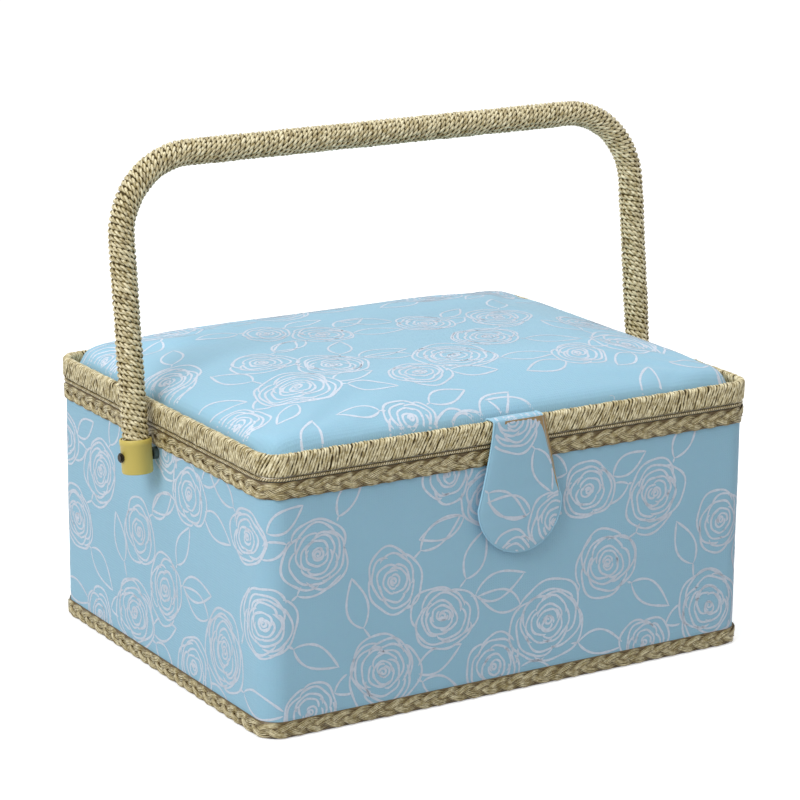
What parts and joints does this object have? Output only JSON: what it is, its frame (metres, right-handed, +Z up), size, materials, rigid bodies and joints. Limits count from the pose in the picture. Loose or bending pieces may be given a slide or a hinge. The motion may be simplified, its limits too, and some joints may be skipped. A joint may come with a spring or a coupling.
{
  "type": "sewing carrier",
  "caption": "Fabric-covered rectangular sewing box with a padded hinged lid, a closing tab, a lift-out tray and a twine-wound swing handle.",
  "frame": {"origin": "centre of the base, on the surface the box stands on", "axes": "+X across the width to the right, -Y towards the front, +Z up"},
  "size_m": [0.3442, 0.2475, 0.2843],
  "materials": {
    "print_cotton": "blue cotton printed with pale line flowers",
    "base_cloth": "dark woven cloth",
    "board": "raw chipboard",
    "satin": "cream satin",
    "twine": "shiny gold and olive twine",
    "wood": "plain pine",
    "brass": "satin brass",
    "steel": "plain steel",
    "dark_plastic": "matte dark green-grey",
    "yellow_plastic": "matte mustard yellow",
    "white_plastic": "off white",
    "padding": "soft foam"
  },
  "bodies": {
    "box": {"base_cover": "base_cloth", "base_board": "board", "floor_pad": "satin", "front_board": "board", "back_board": "board", "left_board": "board", "right_board": "board", "corner_boards": "board", "body_cover": "print_cotton", "wall_lining": "satin", "upper_braid": "twine", "lower_braid": "twine", "left_tray_rail": "wood", "right_tray_rail": "wood", "hinge_box_leaves": "brass", "hinge_pins": "brass", "hinge_box_screws": "brass", "pivot_screws": "brass", "pivot_spacers": "dark_plastic", "pivot_washers": "steel", "pivot_nuts": "steel", "press_stud": "steel"},
    "lid": {"lid_board": "board", "rim_frame": "wood", "rim_twine": "twine", "rim_piping": "twine", "lid_foam": "padding", "lid_cover": "print_cotton", "lid_lining": "satin", "tab_fold": "print_cotton", "hinge_lid_leaves": "brass", "hinge_lid_screws": "brass"},
    "tab": {"tab_stiffener": "board", "tab_cover": "print_cotton", "press_socket": "steel"},
    "handle": {"handle_tube": "steel", "handle_twine": "twine", "left_cap": "yellow_plastic", "right_cap": "yellow_plastic"},
    "tray": {"tray": "white_plastic"}
  },
  "joints": [
    {"name": "lid_hinge", "type": "hinge", "parent": "box", "child": "lid", "pos_m": [0, 0.1216, 0.1366], "axis": [-1, 0, 0], "range_deg": [0, 40]},
    {"name": "tab_hinge", "type": "hinge", "parent": "lid", "child": "tab", "pos_m": [0, -0.1222, 0.1502], "axis": [-1, 0, 0], "range_deg": [0, 120]},
    {"name": "handle_swing", "type": "hinge", "parent": "box", "child": "handle", "pos_m": [0, 0, 0.1226], "axis": [1, 0, 0], "range_deg": [-111, 125]},
    {"name": "tray_lift", "type": "slide", "parent": "box", "child": "tray", "axis": [0, 0, 1], "range_m": [0, 0.021]}
  ]
}
